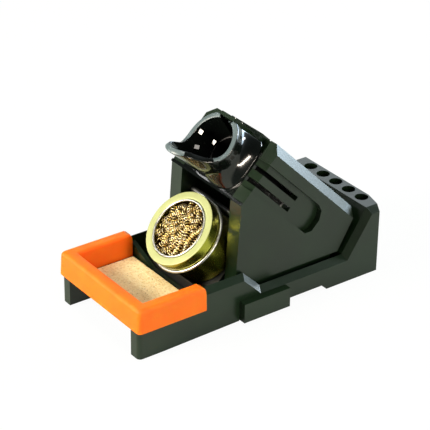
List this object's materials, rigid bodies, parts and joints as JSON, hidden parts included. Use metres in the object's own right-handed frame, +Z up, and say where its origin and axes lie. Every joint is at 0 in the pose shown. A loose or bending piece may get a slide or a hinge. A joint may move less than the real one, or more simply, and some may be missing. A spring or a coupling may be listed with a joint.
{
  "type": "soldering iron stand",
  "caption": "Bench stand with a tilted iron holder, a front sponge tray with a silicone edge, a tilted tin of brass wool and a rear rack for spare tips.",
  "frame": {"origin": "on the table, in the middle of the stand's length and width", "axes": "+Z up, +X the stand's right, -Y towards the sponge end, +Y towards the tip rack"},
  "size_m": [0.1014, 0.201, 0.1269],
  "materials": {
    "black_plastic": "satin moulded",
    "gloss_black": "polished",
    "foot_rubber": "matte",
    "silicone": "satin, orange",
    "cellulose": "open pores, pressed",
    "steel": "zinc plated",
    "bright_steel": "polished",
    "gold_tinplate": "gold lacquer, satin",
    "brass_wool": "bright curled turnings"
  },
  "bodies": {
    "stand": {"base": "black_plastic", "tip_rack": "black_plastic", "feet": "foot_rubber", "ballast_plate": "steel", "ballast_screws": "steel", "left_cheek": "black_plastic", "right_cheek": "black_plastic", "cheek_screws": "steel", "rear_cover": "black_plastic", "front_panel": "gloss_black", "tie_rods": "steel", "holder_cup": "gloss_black", "cup_strap": "black_plastic", "strap_screws": "steel", "cup_ring": "black_plastic", "holder_tube": "steel", "tube_bracket": "steel", "tin_cradle": "black_plastic", "cradle_screws": "steel"},
    "edge_wiper": {"wiper": "silicone"},
    "sponge_pad": {"sponge": "cellulose"},
    "tin": {"tin_body": "gold_tinplate", "brass_wool": "brass_wool"},
    "lid": {"tin_lid": "gold_tinplate", "window_ring": "bright_steel"}
  },
  "joints": [
    {"name": "wiper_lift", "type": "slide", "parent": "stand", "child": "edge_wiper", "axis": [0, 0, 1], "range_m": [0, 0.03]},
    {"name": "sponge_lift", "type": "hinge", "parent": "stand", "child": "sponge_pad", "pos_m": [0, -0.049, 0.0217], "axis": [-1, 0, 0], "range_deg": [0, 45]},
    {"name": "tin_pull", "type": "slide", "parent": "stand", "child": "tin", "axis": [0, -0.7071, 0.7071], "range_m": [0, 0.06]},
    {"name": "lid_pull", "type": "slide", "parent": "tin", "child": "lid", "axis": [0, -0.7071, 0.7071], "range_m": [0, 0.025]}
  ]
}
